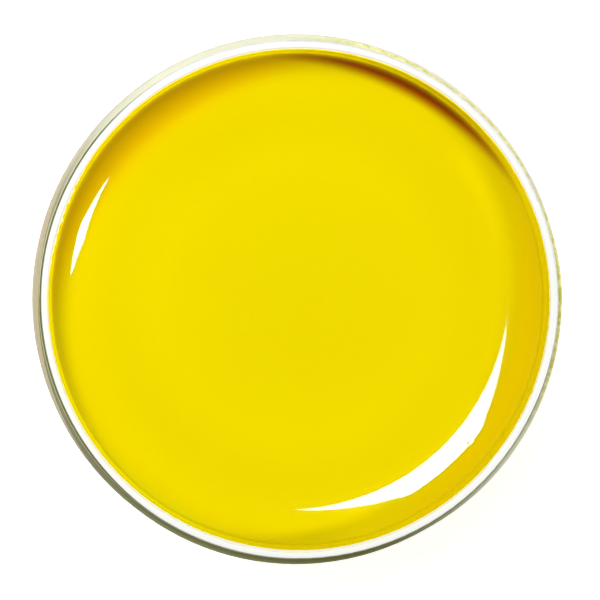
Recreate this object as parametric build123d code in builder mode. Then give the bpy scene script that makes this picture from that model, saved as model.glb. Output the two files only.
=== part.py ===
"""Wide-mouth screw-top paint jar, open and nearly full, with its cap laid upside down beside it.

Millimetres, +Z up. The origin is the centre of the jar's standing ring, on the table.
"""

import os
from math import cos, radians, sin

from build123d import *

# ---- driving dimensions -------------------------------------------------------------------------
# jar: blow-moulded, straight-sided, with a 70 mm continuous-thread neck
jar_height = 76.0
body_diameter = 70.4
neck_diameter = 67.4
lip_wall = 1.14
body_wall = 1.1
neck_height = 10.6
shoulder_radius = 1.2
neck_root_radius = 0.25
inner_shoulder_radius = 0.9
heel_radius = 3.0
lip_edge_radius = 0.3

# base: a flat standing ring around a shallow push-up
base_wall = 1.3
ring_inner_diameter = 57.0
push_up_diameter = 50.0
push_up_height = 1.5

# neck thread: six turns to the inch, low and blunt, its ends easing into the neck
thread_pitch = 25.4 / 6
thread_depth = 0.7
thread_root_width = 2.0
thread_crest_width = 0.8
thread_sink = 0.3
thread_turns = 1.1
thread_bottom_below_lip = 7.3
thread_fade_angle = 30.0
thread_points_per_turn = 24

# paint: flat in the middle, climbing the wall as a wetting liquid does
paint_below_lip = 10.0
meniscus_height = 2.2
meniscus_width = 6.5

# cap: ribbed skirt, closed end down on the table
cap_diameter = 73.0
cap_height = 11.4
cap_plate = 1.3
cap_edge_radius = 0.9
cap_thread_clearance = 0.35
cap_thread_depth = 0.8
cap_thread_turns = 0.9
cap_thread_start_z = 6.7
cap_panel_diameter = 60.0
cap_panel_recess = 0.3
rib_count = 110
groove_radius = 0.62
groove_depth = 0.45
groove_start_z = 1.3
plain_band = 1.1

# liner: foam disc held behind the cap's thread, its edge pressed thinner by the lip
liner_diameter = 68.4
liner_thickness = 1.0
lip_print_depth = 0.15

# where the cap lies, from the jar's axis
cap_x = -86.0
cap_y = -34.0

# ---- derived dimensions -------------------------------------------------------------------------
body_radius = body_diameter / 2
neck_radius = neck_diameter / 2
mouth_radius = neck_radius - lip_wall
inner_radius = body_radius - body_wall
shoulder_z = jar_height - neck_height
inner_shoulder_z = shoulder_z - body_wall
cavity_floor_z = push_up_height + base_wall
ring_inner_radius = ring_inner_diameter / 2
push_up_radius = push_up_diameter / 2
paint_z = jar_height - paint_below_lip
contact_z = paint_z + meniscus_height
cap_radius = cap_diameter / 2
cap_root_radius = neck_radius + thread_depth + cap_thread_clearance
cap_panel_radius = cap_panel_diameter / 2
groove_circle = cap_radius - groove_depth + groove_radius
liner_radius = liner_diameter / 2
liner_top_z = cap_plate + liner_thickness
clear_above = 5.0
fade_margin = 0.05

cap_centre = Vector(cap_x, cap_y, 0)
cap_axis = Axis(cap_centre, (0, 0, 1))
cap_section = Plane(origin=cap_centre, x_dir=(1, 0, 0), z_dir=(0, -1, 0))

os.makedirs("parts", exist_ok=True)


def corner(outline, x, y):
    """The outline's corner at x, y in its own plane."""
    return outline.vertices().sort_by_distance((x, y))[0]


def thread_path(centre, radius, start_z, turns, fade_shift):
    """A right-hand helix about a vertical axis, its two ends easing sideways into the wall."""
    whole_angle = 360.0 * turns
    steps = round(thread_points_per_turn * turns)
    points = []
    for step in range(steps + 1):
        angle = whole_angle * step / steps
        from_end = min(angle, whole_angle - angle)
        ease = max(0.0, 1.0 - from_end / thread_fade_angle)
        reach = radius + fade_shift * ease * ease * (3 - 2 * ease)
        across = Vector(reach * cos(radians(angle)), reach * sin(radians(angle)), 0)
        rise = Vector(0, 0, start_z + thread_pitch * angle / 360.0)
        points.append(centre + across + rise)
    with BuildLine() as path:
        Spline(*points)
    return path.line


def thread_section(path, root_x, crest_x):
    """The thread's section across the start of its path: a low trapezium, its root in the wall."""
    with BuildSketch(Plane(origin=path @ 0, x_dir=(1, 0, 0), z_dir=path % 0)) as section:
        with BuildLine():
            Polyline(
                (root_x, -thread_root_width / 2),
                (crest_x, -thread_crest_width / 2),
                (crest_x, thread_crest_width / 2),
                (root_x, thread_root_width / 2),
                close=True,
            )
        make_face()
    return section.sketch


# ---- cavity: the space inside the jar, shared by the jar and the paint -----------------------------
with BuildPart() as cavity:
    with BuildSketch(Plane.XZ) as cavity_outline:
        with BuildLine():
            Polyline(
                (0, cavity_floor_z),
                (push_up_radius, cavity_floor_z),
                (ring_inner_radius, base_wall),
                (inner_radius, base_wall),
                (inner_radius, inner_shoulder_z),
                (mouth_radius, inner_shoulder_z),
                (mouth_radius, jar_height + clear_above),
                (0, jar_height + clear_above),
                close=True,
            )
        make_face()
        fillet(corner(cavity_outline, inner_radius, base_wall), heel_radius - body_wall)
        fillet(corner(cavity_outline, inner_radius, inner_shoulder_z), inner_shoulder_radius)
    revolve(axis=Axis.Z)

# ---- jar body -----------------------------------------------------------------------------------
neck_thread_path = thread_path(
    Vector(0, 0, 0),
    neck_radius,
    jar_height - thread_bottom_below_lip,
    thread_turns,
    -thread_depth - fade_margin,
)
neck_thread_section = thread_section(neck_thread_path, -thread_sink, thread_depth)

with BuildPart() as jar_body:
    with BuildSketch(Plane.XZ) as jar_outline:
        with BuildLine():
            Polyline(
                (0, push_up_height),
                (push_up_radius, push_up_height),
                (ring_inner_radius, 0),
                (body_radius, 0),
                (body_radius, shoulder_z),
                (neck_radius, shoulder_z),
                (neck_radius, jar_height),
                (0, jar_height),
                close=True,
            )
        make_face()
        fillet(corner(jar_outline, body_radius, 0), heel_radius)
        fillet(corner(jar_outline, body_radius, shoulder_z), shoulder_radius)
        fillet(corner(jar_outline, neck_radius, shoulder_z), neck_root_radius)
    revolve(axis=Axis.Z)
    sweep(sections=neck_thread_section, path=neck_thread_path, normal=(0, 0, 1))
    add(cavity.part, mode=Mode.SUBTRACT)
    fillet(jar_body.edges().filter_by(GeomType.CIRCLE).group_by(Axis.Z)[-1], lip_edge_radius)
jar_body.part.label = "jar_body"
export_step(jar_body.part, "parts/jar_body.step")

# ---- paint: fills the cavity up to a level just below the lip --------------------------------------
with BuildPart() as paint:
    add(cavity.part)
    with BuildSketch(Plane.XZ) as air_outline:
        with BuildLine():
            Line((0, paint_z), (mouth_radius - meniscus_width, paint_z))
            Bezier(
                (mouth_radius - meniscus_width, paint_z),
                (mouth_radius - meniscus_width / 2, paint_z),
                (mouth_radius - meniscus_width / 8, paint_z + meniscus_height / 4),
                (mouth_radius, contact_z),
            )
            Polyline(
                (mouth_radius, contact_z),
                (body_radius, contact_z),
                (body_radius, jar_height + 2 * clear_above),
                (0, jar_height + 2 * clear_above),
                (0, paint_z),
            )
        make_face()
    revolve(axis=Axis.Z, mode=Mode.SUBTRACT)
paint.part.label = "paint"
export_step(paint.part, "parts/paint.step")

# ---- cap: upside down, its closed end on the table -------------------------------------------------
cap_thread_path = thread_path(
    cap_centre,
    cap_root_radius,
    cap_thread_start_z,
    cap_thread_turns,
    cap_thread_depth + fade_margin,
)
cap_thread_section = thread_section(cap_thread_path, thread_sink, -cap_thread_depth)

with BuildPart() as cap_shell:
    with BuildSketch(cap_section) as cap_outline:
        with BuildLine():
            Polyline(
                (0, cap_panel_recess),
                (cap_panel_radius, cap_panel_recess),
                (cap_panel_radius, 0),
                (cap_radius, 0),
                (cap_radius, cap_height),
                (cap_root_radius, cap_height),
                (cap_root_radius, cap_plate),
                (0, cap_plate),
                close=True,
            )
        make_face()
        fillet(corner(cap_outline, cap_radius, 0), cap_edge_radius)
    revolve(axis=cap_axis)
    with BuildSketch(Plane.XY.offset(groove_start_z)) as grooves:
        with Locations((cap_x, cap_y)):
            with PolarLocations(groove_circle, rib_count):
                Circle(groove_radius)
    extrude(amount=cap_height - plain_band - groove_start_z, mode=Mode.SUBTRACT)
    sweep(sections=cap_thread_section, path=cap_thread_path, normal=(0, 0, 1))
cap_shell.part.label = "cap_shell"
export_step(cap_shell.part, "parts/cap_shell.step")

# ---- liner: foam disc lying in the cap, its edge pressed down by the lip ----------------------------
with BuildPart() as cap_liner:
    with BuildSketch(Plane.XY.offset(cap_plate)) as liner_disc:
        with Locations((cap_x, cap_y)):
            Circle(liner_radius)
    extrude(amount=liner_thickness)
    with BuildSketch(Plane.XY.offset(liner_top_z)) as pressed_edge:
        with Locations((cap_x, cap_y)):
            Circle(liner_radius)
            Circle(mouth_radius, mode=Mode.SUBTRACT)
    extrude(amount=-lip_print_depth, mode=Mode.SUBTRACT)
cap_liner.part.label = "cap_liner"
export_step(cap_liner.part, "parts/cap_liner.step")
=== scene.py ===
"""Looks for the paint jar: glossy yellow paint with its wetting edge and the film it leaves on the
neck, a milky jar, a white ribbed cap with a foam liner and a ring of paint, and a studio seen from
straight above."""

from math import cos, degrees, exp, hypot, pi, radians, sin, tau

import bpy
from mathutils import Matrix, Vector


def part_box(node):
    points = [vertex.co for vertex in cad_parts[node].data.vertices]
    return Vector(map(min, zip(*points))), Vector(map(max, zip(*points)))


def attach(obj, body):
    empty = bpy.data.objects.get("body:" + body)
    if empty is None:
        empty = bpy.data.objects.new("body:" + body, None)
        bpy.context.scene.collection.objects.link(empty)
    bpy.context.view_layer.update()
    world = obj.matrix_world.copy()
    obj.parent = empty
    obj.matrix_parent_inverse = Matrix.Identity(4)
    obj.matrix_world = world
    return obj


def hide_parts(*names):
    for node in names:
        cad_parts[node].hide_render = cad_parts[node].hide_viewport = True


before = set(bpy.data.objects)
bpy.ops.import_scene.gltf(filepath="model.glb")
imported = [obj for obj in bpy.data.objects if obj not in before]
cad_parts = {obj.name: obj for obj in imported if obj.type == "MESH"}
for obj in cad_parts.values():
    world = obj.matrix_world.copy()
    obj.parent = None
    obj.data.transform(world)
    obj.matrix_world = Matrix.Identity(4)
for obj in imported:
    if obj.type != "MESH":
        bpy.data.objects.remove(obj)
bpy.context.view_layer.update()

MM = 0.001

# ---- places, from the frame ---------------------------------------------------------------------
jar_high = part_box("jar_body")[1]
paint_low, paint_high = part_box("paint")
LINER_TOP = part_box("cap_liner")[1][2]
cap_low, cap_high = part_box("cap_shell")
LIP_Z = jar_high[2]
CONTACT_Z = paint_high[2]
CAP_X = (cap_low[0] + cap_high[0]) / 2
CAP_Y = (cap_low[1] + cap_high[1]) / 2
CAP_R = (cap_high[0] - cap_low[0]) / 2
CAP_TOP = cap_high[2]

# ---- sizes of the looks, in metres --------------------------------------------------------------
LIP_WALL = 1.14 * MM
LIP_EDGE = 0.3 * MM           # rounding of the lip, inside and out
lip_points = [corner.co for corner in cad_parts["jar_body"].data.vertices
              if corner.co.z > LIP_Z - 0.001 * MM]
MOUTH_R = min(hypot(point.x, point.y) for point in lip_points) - LIP_EDGE
NECK_R = MOUTH_R + LIP_WALL
NECK_HEIGHT = 10.6 * MM
SHOULDER_Z = LIP_Z - NECK_HEIGHT
PAINT_Z = CONTACT_Z - 2.2 * MM

WALL_GAP = 0.03 * MM          # between the plastic and the paint that clings to it
FILM = 0.10 * MM              # thickness of the film on the neck's inside
CAPILLARY = 2.4 * MM          # the length over which the paint's edge levels out
EDGE_SLOPE = radians(41.7)    # the paint's slope where it starts to climb the wall
CLIMB_R = 0.8 * MM            # rounding from that slope up to the film
RING_R = 33.1 * MM            # dried paint on the liner, where the lip pressed
RING_HALF = 0.75 * MM
RING_OUTER = 33.9 * MM
RING_Z = LINER_TOP - 0.15 * MM
RING_HEIGHT = 0.30 * MM
DROPS = (
    (-12 * MM, 9 * MM, 1.9 * MM),
    (7 * MM, -16 * MM, 1.2 * MM),
    (10.5 * MM, -13 * MM, 0.7 * MM),
    (17 * MM, 12 * MM, 1.0 * MM),
    (-20 * MM, -8 * MM, 0.8 * MM),
)

SPECK_ANGLE = 320.5           # a grain of dried paint in the wet surface, in degrees
SPECK_R = 29.6 * MM
SPECK_SIZE = 0.45 * MM
SPECK_HEIGHT = 0.022 * MM
SEGMENTS = 1080
PUSH_UP_R = 26 * MM           # the paint's underside follows the jar's push-up
PUSH_UP_FOOT_R = 28.5 * MM
PUSH_UP_RISE = 1.52 * MM
FILM_FOOT = -6.4 * MM         # the film's lower end, along the lip's profile from the lip's inner edge
LEVEL_WIDTH = 20 * MM         # the stretch of surface that is worked out as sloping


# ---- mesh helpers -------------------------------------------------------------------------------
def new_object(name, vertices, faces, material):
    """A mesh object made from plain vertices and faces."""
    mesh = bpy.data.meshes.new(name)
    mesh.from_pydata(vertices, [], faces)
    mesh.validate()
    mesh.polygons.foreach_set("use_smooth", [True] * len(mesh.polygons))
    mesh.materials.append(material)
    piece = bpy.data.objects.new(name, mesh)
    bpy.context.scene.collection.objects.link(piece)
    return piece


def turned_rows(outline, centre):
    """Vertices of outline(angle) at each step about a vertical axis, and how many each step has."""
    rows = [outline(tau * step / SEGMENTS) for step in range(SEGMENTS)]
    vertices = []
    for step, row in enumerate(rows):
        angle = tau * step / SEGMENTS
        for radius, z in row:
            vertices.append((centre[0] + radius * cos(angle), centre[1] + radius * sin(angle), z))
    return vertices, len(rows[0])


def lathe(name, outline, material):
    """A closed body turned about the jar's axis. outline(angle) lists (radius, z) from the lower
    pole to the upper one, the poles left out; the two poles are its first and last heights."""
    vertices, count = turned_rows(outline, (0.0, 0.0))
    lowest, highest = vertices[0][2], vertices[count - 1][2]
    faces = []
    for step in range(SEGMENTS):
        here = step * count
        after = (step + 1) % SEGMENTS * count
        for ring in range(count - 1):
            faces.append((here + ring, after + ring, after + ring + 1, here + ring + 1))
    bottom = len(vertices)
    vertices.append((0.0, 0.0, lowest))
    vertices.append((0.0, 0.0, highest))
    for step in range(SEGMENTS):
        here = step * count
        after = (step + 1) % SEGMENTS * count
        faces.append((bottom, after, here))
        faces.append((bottom + 1, here + count - 1, after + count - 1))
    return new_object(name, vertices, faces, material)


# ---- material helpers ---------------------------------------------------------------------------
class Shader:
    """A material whose Principled node is fed by a few procedural nodes in object space."""

    def __init__(self, name, **plain):
        self.material = bpy.data.materials.new(name)
        self.material.use_nodes = True
        self.tree = self.material.node_tree
        self.surface = self.tree.nodes["Principled BSDF"]
        for socket, value in plain.items():
            self.surface.inputs[socket.replace("_", " ")].default_value = value
        self.place = self.tree.nodes.new("ShaderNodeTexCoord").outputs["Object"]

    def add(self, kind, settings=(), **values):
        """A new node; values go to inputs by name, as a plain value or as another node's output."""
        node = self.tree.nodes.new(kind)
        for setting, value in dict(settings).items():
            setattr(node, setting, value)
        for socket, value in values.items():
            self.feed(node.inputs[int(socket[1:]) if socket[0] == "i" and socket[1:].isdigit()
                                  else socket.replace("_", " ")], value)
        return node

    def feed(self, socket, value):
        if isinstance(value, bpy.types.NodeSocket):
            self.tree.links.new(value, socket)
        else:
            socket.default_value = value

    def noise(self, scale, detail=3.0, roughness=0.5, place=None):
        return self.add("ShaderNodeTexNoise", Vector=place or self.place, Scale=scale,
                        Detail=detail, Roughness=roughness).outputs["Fac"]

    def cells(self, scale):
        return self.add("ShaderNodeTexVoronoi", Vector=self.place, Scale=scale).outputs["Distance"]

    def stretched(self, x, y, z):
        """Object space scaled along each axis, for streaks."""
        return self.add("ShaderNodeMapping", Vector=self.place, Scale=(x, y, z)).outputs[0]

    def axis(self, name):
        return self.add("ShaderNodeSeparateXYZ", Vector=self.place).outputs[name]

    def radius(self, centre=(0.0, 0.0)):
        """Distance from the vertical axis through centre."""
        moved = self.add("ShaderNodeMapping", Vector=self.place,
                         Location=(-centre[0], -centre[1], 0.0), Scale=(1, 1, 0)).outputs[0]
        return self.add("ShaderNodeVectorMath", {"operation": "LENGTH"}, i0=moved).outputs["Value"]

    def ramp(self, value, low, high, to_low=0.0, to_high=1.0):
        """value from low to high turned smoothly into to_low to to_high."""
        return self.add("ShaderNodeMapRange", {"interpolation_type": "SMOOTHSTEP"}, Value=value,
                        From_Min=low, From_Max=high, To_Min=to_low, To_Max=to_high).outputs[0]

    def calculate(self, operation, first, second):
        return self.add("ShaderNodeMath", {"operation": operation}, i0=first, i1=second).outputs[0]

    def mix(self, share, first, second):
        """Colour mix of first and second."""
        node = self.add("ShaderNodeMix", {"data_type": "RGBA"}, i0=share, i6=first, i7=second)
        return node.outputs[2]

    def bump(self, height, strength, distance, under=None):
        node = self.add("ShaderNodeBump", Height=height, Strength=strength, Distance=distance)
        if under is not None:
            self.feed(node.inputs["Normal"], under)
        return node.outputs["Normal"]

    def finish(self, colour=None, roughness=None, normal=None):
        for socket, value in (("Base Color", colour), ("Roughness", roughness), ("Normal", normal)):
            if value is not None:
                self.feed(self.surface.inputs[socket], value)
        return self.material

    def multiply(self, share, first, second):
        """Colour first tinted by second, by share."""
        node = self.add("ShaderNodeMix", {"data_type": "RGBA", "blend_type": "MULTIPLY"},
                        i0=share, i6=first, i7=second)
        return node.outputs[2]

    def beyond(self, direction, offset, start, end):
        """0 to 1 over a crescent inside the mouth's edge, deepest towards direction in degrees:
        the distance from a point offset the other way, from start to end."""
        back = (-offset * cos(radians(direction)), -offset * sin(radians(direction)))
        return self.ramp(self.radius(back), start, end)

    def along(self, direction):
        """How far a point lies towards direction, in degrees, -1 to 1 across the mouth."""
        unit = (cos(radians(direction)) / MOUTH_R, sin(radians(direction)) / MOUTH_R, 0.0)
        return self.add("ShaderNodeVectorMath", {"operation": "DOT_PRODUCT"}, i0=self.place,
                        i1=unit).outputs["Value"]


YELLOW = (0.885, 0.722, 0.0, 1)
MILKY = (0.94, 0.945, 0.91, 1)

# The shade that the lip casts on the paint, as tints that stay fixed to the jar and don't follow other
# lamps: direction, offset, start, end, tint.
PAINTED_SHADE = (
    (130, 16 * MM, 42.5 * MM, 46.5 * MM, (1.05, 0.80, 1, 1)),
    (-18, 16 * MM, 43.0 * MM, 46.5 * MM, (1.07, 0.96, 1, 1)),
    (62, 13.9 * MM, 43.8 * MM, 45.6 * MM, (0.46, 0.09, 1, 1)),
)


def paint_material():
    """Wet opaque paint, barely uneven, with the lip's shade painted into its colour and a glow on the
    film that stands for light through the milky wall."""
    s = Shader("wet_yellow_paint", IOR=1.48, Emission_Color=(1.0, 0.86, 0.0, 1))
    cloudy = s.ramp(s.noise(38, 2), 0.35, 0.65)
    colour = s.mix(cloudy, YELLOW, (0.875, 0.708, 0.0, 1))
    # cancels a brightness that rises away from the middle under these lamps
    outer = s.ramp(s.radius(), 17 * MM, 26 * MM)
    right_side = s.ramp(s.along(-18), 0.35, 0.55)
    fading = s.calculate("MULTIPLY", s.ramp(s.radius(), 26.5 * MM, 29.0 * MM), right_side)
    outer = s.calculate("MULTIPLY", outer, s.calculate("SUBTRACT", 1.0, fading))
    colour = s.multiply(outer, colour, (0.915, 0.92, 1, 1))
    on_wall = s.ramp(s.axis("Z"), CONTACT_Z - 0.7 * MM, CONTACT_Z + 0.6 * MM)
    in_jar = s.calculate("SUBTRACT", 1.0, on_wall)
    # painted light: the paint's edge tinted lime towards one side, where both lamps light it
    painted_light_lime = s.beyond(235, 16 * MM, 47.2 * MM, 48.4 * MM)
    colour = s.multiply(painted_light_lime, colour, (0.90, 1, 1, 1))
    for direction, offset, start, end, tint in PAINTED_SHADE:
        share = s.calculate("MULTIPLY", in_jar, s.beyond(direction, offset, start, end))
        colour = s.multiply(share, colour, tint)
    glow = s.ramp(s.along(130), -1.0, 1.0, 0.09, 0.40)
    uneven = s.ramp(s.noise(700, 3), 0.3, 0.7, 0.85, 1.15)
    glow = s.calculate("MULTIPLY", glow, uneven)
    s.feed(s.surface.inputs["Emission Strength"], s.calculate("MULTIPLY", on_wall, glow))
    roughness = s.ramp(s.noise(2600, 2), 0.3, 0.7, 0.02, 0.05)
    gentle = s.bump(s.noise(90, 1), 0.02, 0.3 * MM)
    return s.finish(colour, roughness, gentle)


def dried_paint_material():
    """Paint dried to a satin skin, darker than when wet, wrinkled in places."""
    s = Shader("dried_yellow_paint", IOR=1.48)
    colour = s.mix(s.ramp(s.noise(240, 4), 0.35, 0.7), (0.82, 0.62, 0.02, 1), (0.72, 0.50, 0.01, 1))
    roughness = s.ramp(s.noise(500, 4), 0.35, 0.7, 0.22, 0.48)
    wrinkles = s.bump(s.noise(900, 4, 0.6), 0.5, 0.12 * MM)
    return s.finish(colour, roughness, wrinkles)


def jar_material():
    """Milky plastic with yellow paint behind it: creamy on the wall, clean at the lip, with residue on
    the thread and at the neck's foot, yellow-green towards one side. One side is darker, which is
    shade
    painted into the colour: on the shoulder, the residue and a line under the lip's outer edge."""
    s = Shader("milky_jar_plastic", IOR=1.49)
    height = s.axis("Z")
    streaks = s.ramp(s.noise(1, 4, 0.55, s.stretched(55, 55, 14)), 0.35, 0.68)
    wall = s.mix(streaks, (0.90, 0.81, 0.38, 1), (0.91, 0.83, 0.45, 1))
    heel = s.ramp(height, 1.5 * MM, 7 * MM, 1.0, 0.0)
    wall = s.mix(heel, wall, (0.90, 0.87, 0.68, 1))
    shoulder = s.ramp(height, SHOULDER_Z - 3.0 * MM, SHOULDER_Z - 0.9 * MM)
    # painted shade, fixed to the jar: the shoulder and the residue darker towards one side, the
    # shoulder darkest towards another
    shaded_side = s.beyond(225, 60 * MM, 62 * MM, 84 * MM)
    darkest_painted_shade = s.beyond(258, 60 * MM, 84 * MM, 93 * MM)
    top = s.multiply(shaded_side, (0.86, 0.81, 0.64, 1), (0.86, 0.80, 0.66, 1))
    top = s.multiply(darkest_painted_shade, top, (0.42, 0.38, 0.34, 1))
    wall = s.mix(shoulder, wall, top)
    above = s.ramp(height, SHOULDER_Z + 0.3 * MM, SHOULDER_Z + 0.9 * MM)
    film = s.ramp(height, CONTACT_Z - 0.5 * MM, CONTACT_Z + 1.5 * MM)
    neck = s.mix(film, (0.88, 0.80, 0.26, 1), (0.88, 0.84, 0.46, 1))
    neck = s.mix(s.ramp(s.noise(160, 3), 0.35, 0.65, 0.0, 0.35), neck, (0.84, 0.82, 0.55, 1))
    colour = s.mix(above, wall, neck)
    on_thread = s.ramp(s.radius(), NECK_R + 0.15 * MM, NECK_R + 0.4 * MM)
    on_thread = s.calculate("MULTIPLY", on_thread, above)
    # the neck's foot: dried paint in the corner, with painted shade
    foot = s.ramp(s.radius(), NECK_R + 0.2 * MM, NECK_R + 0.8 * MM, 1.0, 0.0)
    near_foot = s.ramp(height, SHOULDER_Z + 0.4 * MM, SHOULDER_Z + 0.9 * MM, 1.0, 0.0)
    foot = s.calculate("MULTIPLY", foot, near_foot)
    foot = s.calculate("MULTIPLY", foot, shoulder)
    residue = s.calculate("MAXIMUM", on_thread, foot)
    flecks = s.ramp(s.noise(1100, 4, 0.6), 0.40, 0.62)
    residue_and_painted_shade = s.mix(flecks, (0.56, 0.56, 0.06, 1), (0.80, 0.78, 0.34, 1))
    # the residue yellow-green towards one side and pale elsewhere
    yellow_green_side = s.ramp(s.along(30), 0.45, 0.85)
    residue_and_painted_shade = s.mix(yellow_green_side, (0.80, 0.81, 0.62, 1), residue_and_painted_shade)
    # painted shade: the residue much darker towards one side
    residue_and_painted_shade = s.multiply(shaded_side, residue_and_painted_shade, (0.20, 0.20, 0.05, 1))
    colour = s.mix(residue, colour, residue_and_painted_shade)
    below_lip = s.ramp(height, LIP_Z - 0.9 * MM, LIP_Z - 0.35 * MM)
    colour = s.mix(below_lip, colour, MILKY)
    bare = s.ramp(s.radius(), NECK_R - 0.5 * MM, NECK_R - 0.3 * MM, 1.0, 0.0)
    bare = s.calculate("MULTIPLY", bare, above)
    colour = s.mix(bare, colour, MILKY)
    # painted shade: a dark line just under the lip's outer edge, missing towards one side and wider
    # towards another
    wider = s.ramp(s.along(175), 0.45, 0.8, 0.0, 0.15 * MM)
    painted_shade_under_lip = s.ramp(s.calculate("ADD", s.radius(), wider), NECK_R - 0.20 * MM, NECK_R - 0.08 * MM)
    painted_shade_under_lip = s.calculate("MULTIPLY", painted_shade_under_lip, s.ramp(height, LIP_Z - 0.55 * MM, LIP_Z - 0.35 * MM))
    painted_shade_under_lip = s.calculate("MULTIPLY", painted_shade_under_lip, s.ramp(s.along(240), -0.55, -0.1))
    colour = s.mix(painted_shade_under_lip, colour, (0.16, 0.17, 0.03, 1))
    # the bare inner wall glows, which stands for light through the milky plastic
    under_edge = s.ramp(height, LIP_Z - 0.30 * MM, LIP_Z - 0.05 * MM, 0.55, 0.0)
    inner_wall = s.calculate("MULTIPLY", bare, under_edge)
    s.surface.inputs["Emission Color"].default_value = (1.0, 0.99, 0.90, 1)
    s.feed(s.surface.inputs["Emission Strength"], inner_wall)
    scuffs = s.ramp(s.noise(140, 3), 0.4, 0.7, 0.31, 0.37)
    off_parting = s.calculate("ABSOLUTE", s.axis("Y"), 0.0)
    parting = s.ramp(off_parting, 0.03 * MM, 0.16 * MM, 1.0, 0.0)
    parting = s.calculate("MULTIPLY", parting, s.calculate("SUBTRACT", 1.0, below_lip))
    seam = s.bump(parting, 0.35, 0.06 * MM)
    waviness = s.bump(streaks, 0.03, 0.5 * MM, seam)
    scratches = s.bump(s.noise(1, 4, 0.6, s.stretched(600, 600, 160)), 0.015, 0.05 * MM, waviness)
    return s.finish(colour, scuffs, scratches)


def cap_material():
    """White moulded plastic, satin, scuffed, with traces of yellow on the edge that meets the jar."""
    s = Shader("white_cap_plastic", IOR=1.49)
    colour = s.mix(s.ramp(s.noise(160, 4), 0.4, 0.8), (0.89, 0.89, 0.88, 1), (0.85, 0.85, 0.83, 1))
    high = s.ramp(s.axis("Z"), CAP_TOP - 1.6 * MM, CAP_TOP - 0.1 * MM)
    traces = s.calculate("MULTIPLY", high, s.ramp(s.noise(95, 5, 0.62), 0.56, 0.64))
    inside = s.ramp(s.radius((CAP_X, CAP_Y)), CAP_R - 2.1 * MM, CAP_R - 1.9 * MM, 1.0, 0.0)
    inside = s.calculate("MULTIPLY", inside, s.ramp(s.noise(70, 5, 0.62), 0.57, 0.63))
    colour = s.mix(s.calculate("MAXIMUM", traces, inside), colour, (0.80, 0.62, 0.03, 1))
    roughness = s.ramp(s.noise(500, 5), 0.35, 0.7, 0.25, 0.42)
    grain = s.bump(s.noise(4000, 2), 0.08, 0.05 * MM)
    scratches = s.bump(s.noise(1, 5, 0.7, s.stretched(300, 300, 900)), 0.08, 0.05 * MM, grain)
    return s.finish(colour, roughness, scratches)


def liner_material():
    """Fine closed-cell foam, faintly stained by paint."""
    s = Shader("liner_foam", IOR=1.45)
    stain = s.ramp(s.noise(55, 4), 0.58, 0.72, 0.0, 0.45)
    colour = s.mix(stain, (0.82, 0.82, 0.79, 1), (0.86, 0.75, 0.30, 1))
    cells = s.bump(s.cells(3200), 0.5, 0.08 * MM)
    return s.finish(colour, 0.75, cells)


paint_look = paint_material()
jar_look = jar_material()
cap_look = cap_material()
liner_look = liner_material()


# ---- paint --------------------------------------------------------------------------------------
def ragged(angle, centre, half_width, depth):
    """Teeth in the paint's edge around one direction, in degrees; they only take paint away."""
    off = (degrees(angle) - centre + 180) % 360 - 180
    window = max(0.0, 1 - (off / half_width) ** 2)
    teeth = 0.5 + 0.34 * sin(off * 2.6) + 0.20 * sin(off * 1.1 + 1.1) + 0.16 * sin(off * 4.3)
    return depth * window * max(0.0, teeth)


def paint_reach(angle):
    """How far the paint has crept, along the lip's profile from the foot of its inner edge."""
    reach = 0.27 * MM + 0.17 * MM * cos(angle - radians(235)) - 0.06 * MM * cos(angle - radians(150))
    reach -= ragged(angle, 161, 13, 5.0 * MM)
    reach -= ragged(angle, 244, 9, 0.38 * MM)
    reach -= ragged(angle, 333, 10, 0.10 * MM)
    wander = sin(angle * 23 + 0.4) + 0.7 * sin(angle * 41 + 2.0) + 0.5 * sin(angle * 67)
    return reach + 0.012 * MM * wander


def on_lip(along, lift):
    """(radius, z) a little above the lip's profile: up the wall, round its edge, over its top."""
    if along < 0:
        return MOUTH_R - lift, LIP_Z - LIP_EDGE + along
    turn = min(along / LIP_EDGE, pi / 2)
    flat = max(0.0, along - LIP_EDGE * pi / 2)
    radius = MOUTH_R + LIP_EDGE - (LIP_EDGE + lift) * cos(turn) + flat
    return radius, LIP_Z - LIP_EDGE + (LIP_EDGE + lift) * sin(turn)


def edge_height(inward):
    """Height of the paint's surface above its level, inward from where it starts to climb."""
    slope = EDGE_SLOPE * exp(-inward / CAPILLARY)
    return CAPILLARY * (slope + slope ** 3 / 9)


def speck(radius, angle):
    """A grain of dried paint under the surface, which lifts it a little."""
    across = radius * ((degrees(angle) - SPECK_ANGLE + 180) % 360 - 180) * pi / 180
    away = (across ** 2 + (radius - SPECK_R) ** 2) / SPECK_SIZE ** 2
    return SPECK_HEIGHT * exp(-away)


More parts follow.
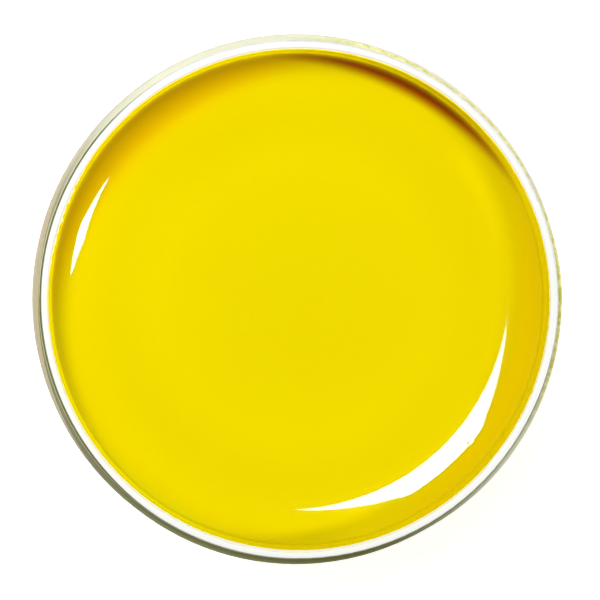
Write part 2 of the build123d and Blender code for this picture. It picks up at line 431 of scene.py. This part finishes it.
def paint_outline(angle):
    """The paint's profile: up inside the jar, over onto the lip, back down the film, to the middle."""
    floor_z = paint_low[2]
    inner_r = paint_high[0] - WALL_GAP
    neck_r = MOUTH_R - WALL_GAP
    under = SHOULDER_Z - 2.0 * MM
    points = [(PUSH_UP_R, floor_z + PUSH_UP_RISE), (PUSH_UP_FOOT_R, floor_z + WALL_GAP)]
    points += [(inner_r - 2 * MM, floor_z + WALL_GAP), (inner_r - 0.6 * MM, floor_z + 0.6 * MM)]
    points += [(inner_r, floor_z + 2 * MM), (inner_r, under), (neck_r, under + 0.9 * MM)]
    reach = paint_reach(angle)
    for step in range(9):
        points.append(on_lip(FILM_FOOT + (reach - FILM_FOOT) * step / 8, WALL_GAP))
    for step in range(9):
        share = step / 8
        thick = WALL_GAP + FILM * min(1.0, 0.35 + 2.5 * share)
        points.append(on_lip(reach + (FILM_FOOT - reach) * share, thick))
    film_r = MOUTH_R - WALL_GAP - FILM
    climb_run = CLIMB_R * (1 - sin(EDGE_SLOPE))
    start_r = film_r - climb_run
    start_z = PAINT_Z + edge_height(0.0)
    for step in range(1, 8):
        turn = EDGE_SLOPE + (pi / 2 - EDGE_SLOPE) * (1 - step / 8)
        radius = start_r - CLIMB_R * sin(EDGE_SLOPE) + CLIMB_R * sin(turn)
        points.append((radius, start_z + CLIMB_R * (cos(EDGE_SLOPE) - cos(turn))))
    for step in range(61):
        inward = LEVEL_WIDTH * (step / 60) ** 1.5
        radius = start_r - inward
        points.append((radius, PAINT_Z + edge_height(inward) + speck(radius, angle)))
    return points


paint = lathe("wet_paint", paint_outline, paint_look)
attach(paint, "jar")
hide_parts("paint")

# ---- dried paint on the liner: a ring where the lip pressed, and a few drops -----------------------
def liner_ring_outline(angle):
    """Cross-section of the ring of paint that the jar's lip left on the liner, as (radius, z)."""
    sway = 0.5 * sin(angle * 5 + 1.2) + 0.3 * sin(angle * 13) + 0.2 * sin(angle * 31 + 0.7)
    inner = RING_R - RING_HALF * (1.3 + 0.6 * sway)
    outer = min(RING_R + RING_HALF * (1.0 + 0.4 * sin(angle * 9)), RING_OUTER)
    height = RING_HEIGHT * (0.75 + 0.25 * sin(angle * 7 + 2))
    points = []
    for step in range(13):
        share = step / 12
        points.append((inner + (outer - inner) * share, RING_Z + height * sin(pi * share) ** 0.7))
    return points


def ring(name, outline, material, centre):
    """A closed ring whose cross-section is outline(angle), its first and last points on the bed."""
    vertices, count = turned_rows(outline, centre)
    faces = []
    for step in range(SEGMENTS):
        here = step * count
        after = (step + 1) % SEGMENTS * count
        for place in range(count):
            beyond = (place + 1) % count
            faces.append((here + place, here + beyond, after + beyond, after + place))
    return new_object(name, vertices, faces, material)


def drop(name, x, y, radius, seed, material):
    """A flattened drop of dried paint on the liner, not quite round."""
    rings, spokes = 7, 48
    vertices = [(x, y, LINER_TOP + 0.32 * radius)]
    for row in range(1, rings + 1):
        tilt = pi / 2 * row / rings
        for spoke in range(spokes):
            angle = tau * spoke / spokes
            reach = radius * (1 + 0.10 * sin(angle * 2 + seed) + 0.07 * sin(angle * 3 + seed * 2))
            vertices.append((x + reach * sin(tilt) * cos(angle), y + reach * sin(tilt) * sin(angle),
                             LINER_TOP + 0.32 * radius * cos(tilt)))
    faces = [(0, 1 + spoke, 1 + (spoke + 1) % spokes) for spoke in range(spokes)]
    for row in range(rings - 1):
        here = 1 + row * spokes
        for spoke in range(spokes):
            after = (spoke + 1) % spokes
            faces.append((here + spoke, here + spokes + spoke, here + spokes + after, here + after))
    last = 1 + (rings - 1) * spokes
    faces.append(tuple(last + spoke for spoke in reversed(range(spokes))))
    return new_object(name, vertices, faces, material)


dried_look = dried_paint_material()
cap_pieces = [ring("dried_paint_ring", liner_ring_outline, dried_look, (CAP_X, CAP_Y))]
for number, (off_x, off_y, size) in enumerate(DROPS):
    cap_pieces.append(drop(f"dried_drop_{number + 1}", CAP_X + off_x, CAP_Y + off_y, size, number,
                           dried_look))
for piece in cap_pieces:
    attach(piece, "cap")

# ---- plastic and foam, on the nodes as they are --------------------------------------------------
for node, look in (("jar_body", jar_look), ("cap_shell", cap_look), ("cap_liner", liner_look)):
    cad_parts[node].data.materials.clear()
    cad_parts[node].data.materials.append(look)


# ---- studio -------------------------------------------------------------------------------------
def softbox(name, across, towards, height, width, length, turn, output):
    """A soft rectangular light hanging level above the paint. across and towards are its offsets
    per unit of height, and output is the brightness that it alone gives to a white level surface."""
    light = bpy.data.lights.new(name, "AREA")
    light.shape = "RECTANGLE"
    light.size = length
    light.size_y = width
    lean = 1 + across ** 2 + towards ** 2
    light.energy = output * pi ** 2 * height ** 2 * lean ** 2
    lamp = bpy.data.objects.new(name, light)
    lamp.location = (across * height, towards * height, PAINT_Z + height)
    lamp.rotation_euler = (0, 0, radians(turn))
    bpy.context.scene.collection.objects.link(lamp)
    return lamp


softbox("key_softbox", -0.184, 0.224, 1.2, 0.27, 0.456, 132, 0.685)
softbox("side_softbox", 0.514, -0.166, 1.0, 0.145, 0.25, 8, 0.285)

world = bpy.data.worlds.new("studio")
bpy.context.scene.world = world
world.use_nodes = True
sky = world.node_tree
way = sky.nodes.new("ShaderNodeTexCoord")
split = sky.nodes.new("ShaderNodeSeparateXYZ")
fade = sky.nodes.new("ShaderNodeMapRange")
fade.interpolation_type = "SMOOTHSTEP"
fade.inputs["From Min"].default_value = 0.15
fade.inputs["From Max"].default_value = 0.68
fade.inputs["To Min"].default_value = 1.7
fade.inputs["To Max"].default_value = 0.02
sky.links.new(way.outputs["Generated"], split.inputs[0])
sky.links.new(split.outputs["Z"], fade.inputs["Value"])
sky.links.new(fade.outputs[0], sky.nodes["Background"].inputs["Strength"])

floor_look = Shader("pale_floor", Roughness=0.9)
floor_look.surface.inputs["Emission Color"].default_value = (1, 1, 1, 1)
floor_look.surface.inputs["Emission Strength"].default_value = 0.6
floor_look.finish(floor_look.mix(floor_look.noise(3), (0.86, 0.86, 0.86, 1), (0.88, 0.88, 0.88, 1)))
bpy.ops.mesh.primitive_circle_add(vertices=96, radius=3, fill_type="NGON", location=(0, 0, 0))
floor = bpy.context.object
floor.name = "studio_floor"
floor.data.materials.append(floor_look.material)

# ---- camera -------------------------------------------------------------------------------------
CAMERA_DISTANCE = 0.45
VIEW_WIDTH = 77.8 * MM        # width of the view at the lip's height
LEAN_X = radians(-1.50)
LEAN_Y = radians(0.68)
SENSOR = 36.0
aim = Vector((0.09 * MM, -0.03 * MM, LIP_Z))
lens = bpy.data.cameras.new("camera")
lens.sensor_width = SENSOR
lens.lens = SENSOR * CAMERA_DISTANCE / VIEW_WIDTH
lens.clip_start = 0.01
camera = bpy.data.objects.new("camera", lens)
direction = Vector((sin(LEAN_X), sin(LEAN_Y), 1.0)).normalized()
sideways = Vector((0, 1, 0)).cross(direction).normalized()
upward = direction.cross(sideways)
turned = Matrix((sideways, upward, direction)).transposed().to_4x4()
camera.matrix_world = Matrix.Translation(aim + direction * CAMERA_DISTANCE) @ turned
bpy.context.scene.collection.objects.link(camera)
bpy.context.scene.camera = camera
bpy.context.scene.view_settings.view_transform = "Standard"
